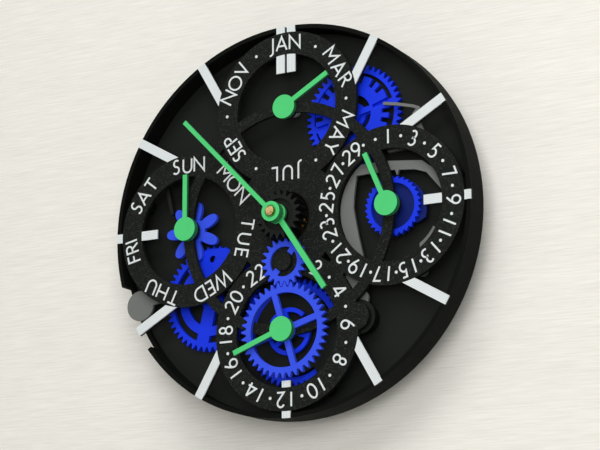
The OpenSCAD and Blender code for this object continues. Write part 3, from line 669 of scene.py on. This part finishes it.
# %% [markdown]
# Words are set by a pen that moves on by a letter's width and a gap. Even gaps look uneven
# beside round or slanted letters, so some pairs get a little more room. Figures stand at
# an even pitch, so that every number is centred in the same way.

# %% Spacing
LETTER_MM = 7.5
DIGIT_PITCH = 0.82
LETTER_GAP = 0.23
EXTRA_GAP = {"JU": 0.27, "UL": 0.27, "JA": 0.05, "SU": 0.12, "TU": 0.15, "UE": 0.20,
             "TH": 0.12, "HU": 0.08, "SA": 0.05, "AT": 0.05, "MA": 0.11, "AR": 0.11}


def letter_starts(word):
    """Where each character's box begins, in letter heights from the word's middle."""
    if word.isdigit():
        middle = DIGIT_PITCH * (len(word) - 1) / 2
        return [DIGIT_PITCH * i - GLYPHS[digit][0] / 2 - middle
                for i, digit in enumerate(word)]
    starts, pen = [], 0.0
    for i, letter in enumerate(word):
        starts.append(pen)
        pen += GLYPHS[letter][0] + LETTER_GAP + EXTRA_GAP.get(word[i:i + 2], 0.0)
    return [start - (pen - LETTER_GAP) / 2 for start in starts]


print("MAY begins at", [round(start, 2) for start in letter_starts("MAY")])

# %% [markdown]
# A word stands straight across the dial's radius, with its top outwards, and a round dot
# fills the place of a word that isn't written. Ribbons of one letter that cross are set
# a hundredth of a millimetre apart, because two faces in one plane would flicker.

# %% Words and dots
STROKE_MM = 1.0
INLAY_MM = 0.10
INLAY_ROOT_MM = -0.05
CROSSING_MM = 0.01
DOT_R_MM = 0.82
DOT_SIDES = 20


def word_ribbons(word, radius, angle, centre):
    """The inlays of one word, at a clock angle of a dial."""
    turn = math.radians(angle)

    def to_place(along, outwards, level):
        reach = radius + outwards
        return place(centre[0] + along * math.cos(turn) + reach * math.sin(turn),
                     centre[1] - along * math.sin(turn) + reach * math.cos(turn), level)

    parts = []
    for letter, start in zip(word, letter_starts(word)):
        for k, line in enumerate(GLYPHS[letter][1]):
            flat = [((x + start) * LETTER_MM, (y - 0.5) * LETTER_MM) for x, y in line]
            parts.append(raised(*ribbon(flat, STROKE_MM / 2), INLAY_MM + CROSSING_MM * k,
                                INLAY_ROOT_MM, to_place))
    return parts


def dot_disc(radius, angle, centre):
    """A round dot between two words."""
    n = DOT_SIDES
    middle = clock_pt(radius, angle, centre)
    ring = [clock_pt(DOT_R_MM, 360 * i / n, middle) for i in range(n)]
    points = [place(*point, level) for level in (INLAY_MM, INLAY_ROOT_MM) for point in ring]
    faces = [tuple(range(n)), tuple(range(2 * n - 1, n - 1, -1))]
    faces += [(i, (i + 1) % n, n + (i + 1) % n, n + i) for i in range(n)]
    return points, faces


print("strokes", STROKE_MM, "mm wide, letters", LETTER_MM, "mm high")

# %% [markdown]
# ## What each dial says
# Every second month is written and the others are dots. The weekday dial has seven words.
# The date dial shows the odd dates, and its last place is a dot so that 1 stays clear. The
# lower dial counts the even hours of a day, and the idler gear stands where it would
# begin. Lists of words are enough for all four, as each dial is divided evenly.

# %% Words on the dials
LABEL_R = 36.0
LAST_DATE = 31
HOURS_IN_DAY = 24
COVERED = "-"
MONTHS = ["JAN", "", "MAR", "", "MAY", "", "JUL", "", "SEP", "", "NOV", ""]
WEEKDAYS = ["SUN", "MON", "TUE", "WED", "THU", "FRI", "SAT"]
DATES = [str(day) if day % 2 and day < LAST_DATE else "" for day in range(1, LAST_DATE + 1)]
HOURS = [COVERED] + ["" if hour % 2 else str(hour) for hour in range(1, HOURS_IN_DAY)]
LABELS = {"month": MONTHS, "weekday": WEEKDAYS, "date": DATES, "day": HOURS}

for dial, words in LABELS.items():
    ribbons = []
    for i, word in enumerate(words):
        angle = 360 * i / len(words)
        if word == COVERED:
            continue
        if word:
            ribbons += word_ribbons(word, LABEL_R, angle, DIALS[dial])
        else:
            ribbons.append(dot_disc(LABEL_R, angle, DIALS[dial]))
    piece(dial + "_lettering", *joined(ribbons), "white", "clock")

# %% [markdown]
# ## Small marks on the back
# Each screw head has a cross for the driver, the setting knob has a slot, and the battery
# door has grip lines, a plus and a minus. They are shallow recesses, dark with the shade
# inside them. The CAD mesh can't be cut here, so each is a thin black bar of painted shade
# that lies on the face and reaches a little way into it.

# %% A bar of painted shade on a face that looks at the wall
BAR_LIFT_MM = 0.02
BAR_ROOT_MM = -0.2


def back_bar(x, z, length, width, turn, face_y, lift=BAR_LIFT_MM):
    """A flat black bar of painted shade; its sizes are in millimetres, its place is in metres.
    """
    along = Vector((math.cos(turn), 0, math.sin(turn))) * (length / 2 * MM)
    across = Vector((-math.sin(turn), 0, math.cos(turn))) * (width / 2 * MM)
    middle = Vector((x, face_y, z))
    corners = [middle + along * a + across * b
               for a, b in ((-1, -1), (1, -1), (1, 1), (-1, 1))]
    points = [corner + Vector((0, level * MM, 0))
              for level in (lift, BAR_ROOT_MM) for corner in corners]
    faces = [(0, 1, 2, 3), (7, 6, 5, 4),
             (0, 4, 5, 1), (1, 5, 6, 2), (2, 6, 7, 3), (3, 7, 4, 0)]
    return points, faces


print("bars stand", BAR_LIFT_MM, "mm proud")

# %% [markdown]
# All the screws of one kind are one node, so its box says nothing about the single screw.
# The screws are found as the loose parts of the mesh: points at the same spot count as
# one, and whatever an edge joins belongs together.

# %% Find the loose parts of a node
WELD_DIGITS = 3  # points that agree to a thousandth of a millimetre are one


def islands(node):
    """The lowest and highest corner of each loose part of a node's mesh."""
    mesh = NODES[node].data
    root = list(range(len(mesh.vertices)))

    def top(i):
        while root[i] != i:
            root[i] = root[root[i]]
            i = root[i]
        return i

    first_at = {}
    for vertex in mesh.vertices:
        spot = tuple(round(part / MM, WELD_DIGITS) for part in vertex.co)
        root[vertex.index] = first_at.setdefault(spot, vertex.index)
    for edge in mesh.edges:
        first, second = (top(i) for i in edge.vertices)
        root[first] = second
    groups = {}
    for vertex in mesh.vertices:
        groups.setdefault(top(vertex.index), []).append(vertex.co)
    return [(Vector([min(point[k] for point in group) for k in range(3)]),
             Vector([max(point[k] for point in group) for k in range(3)]))
            for group in groups.values()]


screws = islands("cover_screws") + islands("back_screws")
print(len(screws), "screws found")

# %% [markdown]
# A driver's cross is two bars at right angles, sized as a share of the screw's head. A
# tightened screw seldom stops square to the case, so the crosses stand a little askew.

# %% Screw crosses
CROSS_LENGTH = 0.62
CROSS_WIDTH = 0.16
CROSS_TURNS = (math.radians(25), math.radians(115))

crosses = []
for low, high in screws:
    middle, head = (low + high) / 2, (high.x - low.x) / MM
    for k, turn in enumerate(CROSS_TURNS):
        crosses.append(back_bar(middle.x, middle.z, head * CROSS_LENGTH, head * CROSS_WIDTH,
                                turn, high.y, BAR_LIFT_MM + CROSSING_MM * k))
# painted shade: a black cross where the driver's recess would be dark
piece("screw_cross_shade", *joined(crosses), "black", "clock")

# %% [markdown]
# The setting knob turns the hands from behind. Its slot rides on the knob's own body, so
# it turns with the knob and shows that it has turned.

# %% The knob's slot
SLOT_LENGTH = 0.7
SLOT_WIDTH_MM = 1.1
SLOT_TURN = math.radians(40)

low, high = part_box("setting_knob")
middle, knob_w = (low + high) / 2, (high.x - low.x) / MM
# painted shade: a black bar where the slot would be dark
piece("knob_slot_shade", *back_bar(middle.x, middle.z, knob_w * SLOT_LENGTH, SLOT_WIDTH_MM,
                             SLOT_TURN, high.y), "black", "knob")

# %% [markdown]
# The battery door has four grip lines for a thumb, which get shorter towards its middle,
# and a plus and a minus that say which way round the cell goes in.

# %% The battery door's marks
GRIP_LINES = 4
GRIP_START_MM, GRIP_PITCH_MM = 2.0, 1.5
GRIP_MM, GRIP_SHORTER_MM = 14, 2
GRIP_WIDTH_MM = 0.5
SIGN_MM, SIGN_WIDTH_MM = 3.4, 0.7
SIGN_INSET_MM = 6

low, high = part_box("battery_door")
middle = (low + high) / 2
plus_x, minus_x = high.x - SIGN_INSET_MM * MM, low.x + SIGN_INSET_MM * MM
marks = [back_bar(middle.x, low.z + (GRIP_START_MM + GRIP_PITCH_MM * k) * MM,
                  GRIP_MM - GRIP_SHORTER_MM * k, GRIP_WIDTH_MM, 0, high.y)
         for k in range(GRIP_LINES)]
marks += [back_bar(plus_x, middle.z, SIGN_MM, SIGN_WIDTH_MM, 0, high.y),
          back_bar(plus_x, middle.z, SIGN_MM, SIGN_WIDTH_MM, math.pi / 2, high.y,
                   BAR_LIFT_MM + CROSSING_MM),
          back_bar(minus_x, middle.z, SIGN_MM, SIGN_WIDTH_MM, 0, high.y)]
# painted shade: black marks where the door's recesses would be dark
piece("door_mark_shade", *joined(marks), "dial_black", "door")

# %% [markdown]
# ## The room
# The clock hangs on a pale papered wall. The wall is a backdrop, not part of the object.
# The paper has soft fibres that run level. A picture of paper would do, but noise that is
# drawn out along the fibres is sharp at any size. The wall's back is see-through, so that
# the clock can also be looked at from behind.

# %% Wall paper
WALL_WHITE = (0.86, 0.835, 0.775)
PAPER_DARK = (0.775, 0.757, 0.695, 1.0)
PAPER_PALE = (0.915, 0.897, 0.835, 1.0)
FIBRES_PER_MM, BROAD_PER_MM = 1.2, 0.12
FIBRE_TONE, BROAD_TONE = 2.1, 0.5
FIBRE_DRAWN_OUT = 0.04
FIBRE_DEPTH_MM = 0.12


def wall_paper():
    """Pale fibrous paper that only shows from the front."""
    finish = Finish("wall_paper", WALL_WHITE, roughness=0.8)
    x, _, z = finish.split(finish.spot())
    level = finish.node("CombineXYZ", {}, {0: x * FIBRE_DRAWN_OUT, 1: 0.0, 2: z})
    fibres = finish.noise(FIBRES_PER_MM, detail=4.0, rough=0.6, where=level)
    broad = finish.noise(BROAD_PER_MM, where=level)
    tone = (fibres.swing(FIBRE_TONE) + broad.swing(BROAD_TONE) + 0.5).clamp()
    finish.feed("Base Color", finish.blend(tone, PAPER_DARK, PAPER_PALE))
    finish.feed("Normal", finish.bump(fibres, FIBRE_DEPTH_MM))
    behind = finish.node("NewGeometry", output="Backfacing")
    clear = finish.node("BsdfTransparent")
    solid = Value(finish, finish.shader.outputs[0])
    mixed = finish.node("MixShader", {}, {0: behind, 1: solid, 2: clear})
    finish.plug(finish.tree.nodes["Material Output"].inputs["Surface"], mixed)
    return finish


def stage_piece(name, points, faces, finish):
    """A flat piece of the stage."""
    mesh = bpy.data.meshes.new(name)
    mesh.from_pydata(points, [], faces)
    mesh.materials.append(finish.material)
    made = bpy.data.objects.new(name, mesh)
    bpy.context.scene.collection.objects.link(made)
    print(name, "has", len(faces), "faces")


print("paper with", FIBRES_PER_MM, "fibres in a millimetre")

# %% [markdown]
# The wall lies against the clock's back and would keep all light from it. So it has a
# round hole, a little smaller than the rear cover, which hides it from the front. A
# Boolean could cut it, but one ring of faces between the circle and the wall's square
# outline is simpler and stays clean.

# %% The wall
WALL_HALF = 1.6
WALL_Y = 0.0006
FLOOR_Z = -1.3
HOLE_STEPS = 64
HOLE_MARGIN = 0.002
hole_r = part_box("rear_cover")[1].x - HOLE_MARGIN


def wall_with_hole():
    """A square wall round a circle, cut off level with the floor."""
    inner, outer = [], []
    for i in range(HOLE_STEPS):
        turn = 2 * math.pi * i / HOLE_STEPS
        side, up = math.sin(turn), math.cos(turn)
        reach = WALL_HALF / max(abs(side), abs(up))
        inner.append((hole_r * side, WALL_Y, hole_r * up))
        outer.append((reach * side, WALL_Y, max(FLOOR_Z, reach * up)))
    faces = [(i, (i + 1) % HOLE_STEPS, HOLE_STEPS + (i + 1) % HOLE_STEPS, HOLE_STEPS + i)
             for i in range(HOLE_STEPS)]
    return inner + outer, faces


stage_piece("room_wall", *wall_with_hole(), wall_paper())

# %% [markdown]
# The floor is a plain pale sheet far below the clock, only in front of the wall, so that
# it sends a little light up and never hides the clock's back.

# %% The floor
FLOOR_HALF = 3
FLOOR_PALE = (0.78, 0.77, 0.75)
FLOOR_DARK_PATCH = (0.75, 0.74, 0.72, 1.0)
FLOOR_PALE_PATCH = (0.81, 0.80, 0.78, 1.0)
FLOOR_PATCHES_PER_MM = 0.05

floor_finish = Finish("floor_pale", FLOOR_PALE, roughness=0.7)
floor_grain = floor_finish.noise(FLOOR_PATCHES_PER_MM, detail=3.0)
floor_finish.feed("Base Color", floor_finish.blend(
    floor_grain, FLOOR_DARK_PATCH, FLOOR_PALE_PATCH))
floor_corners = [(-FLOOR_HALF, -FLOOR_HALF, FLOOR_Z), (FLOOR_HALF, -FLOOR_HALF, FLOOR_Z),
                 (FLOOR_HALF, 0, FLOOR_Z), (-FLOOR_HALF, 0, FLOOR_Z)]
stage_piece("room_floor", floor_corners, [(0, 1, 2, 3)], floor_finish)

# %% [markdown]
# ## Light
# Soft studio light: one lamp above on the right, which throws the soft shadow under the
# case, and one in front near the camera that reaches into the works. Large area lamps give
# such soft edges, where a point lamp would draw hard ones. A third lamp stands behind the
# wall and only reaches the clock's back.

# %% Lamps
LAMP_ASPECT = 0.7


def lamp(name, spot, width, power):
    """A soft rectangular lamp that looks at the clock's centre; metres and watts."""
    data = bpy.data.lights.new(name, "AREA")
    data.shape = "RECTANGLE"
    data.size = width
    data.size_y = width * LAMP_ASPECT
    data.energy = power
    made = bpy.data.objects.new(name, data)
    made.location = spot
    made.rotation_euler = (-Vector(spot)).to_track_quat("-Z", "Y").to_euler()
    bpy.context.scene.collection.objects.link(made)
    print(name, "lamp,", power, "watts")


lamp("key", (0.40, -1.4, 1.2), 1.3, 17.6)
lamp("front", (0.7, -1.8, 0.0), 1.2, 17.2)
lamp("back", (0.35, 1.3, 0.6), 0.9, 14)

# %% [markdown]
# The world fills the shadows with weak even light. Seen directly, in a reflection or
# through something clear, it should be a pale room instead of that dim grey. The Light
# Path node tells the kinds of ray apart, so the world can be both.

# %% The world
WORLD_COLOUR = (1.0, 0.99, 0.97, 1.0)
WORLD_LIGHT = 0.22
WORLD_SEEN = 0.80

world = bpy.data.worlds.new("studio")
bpy.context.scene.world = world
world.use_nodes = True
studio = Graph(world.node_tree)
sky = studio.tree.nodes["Background"]
rays = studio.node("LightPath", output="Is Camera Ray")
looked_at = rays + rays.output("Is Glossy Ray") + rays.output("Is Transmission Ray")
seen = looked_at.apply("MINIMUM", 1.0)
studio.plug(sky.inputs["Color"], WORLD_COLOUR)
studio.plug(sky.inputs["Strength"], seen * (WORLD_SEEN - WORLD_LIGHT) + WORLD_LIGHT)
bpy.context.scene.view_settings.view_transform = "Standard"
print("world light", WORLD_LIGHT, "seen as", WORLD_SEEN)

# %% [markdown]
# ## Camera
# The photograph was taken from below and to the right with a long lens. The camera's
# place was worked out from the known sizes of the dials: about 1.08 m away, 28 degrees
# to the right, looking up by 13 degrees. The turn is in degrees about x, y and z.

# %% Camera
CAMERA_AT = (0.49243, -0.92846, -0.24558)
CAMERA_TURN = (103.3096, 0.1485, 28.4538)
CAMERA_LENS = 120.24
CAMERA_SENSOR = 36.0
CAMERA_NEAR = 0.01

camera_data = bpy.data.cameras.new("photo_camera")
camera_data.sensor_width = CAMERA_SENSOR
camera_data.lens = CAMERA_LENS
camera_data.clip_start = CAMERA_NEAR
camera = bpy.data.objects.new("photo_camera", camera_data)
camera.location = CAMERA_AT
camera.rotation_euler = [math.radians(v) for v in CAMERA_TURN]
bpy.context.scene.collection.objects.link(camera)
bpy.context.scene.camera = camera
print("camera", round(Vector(CAMERA_AT).length, 2), "m away")
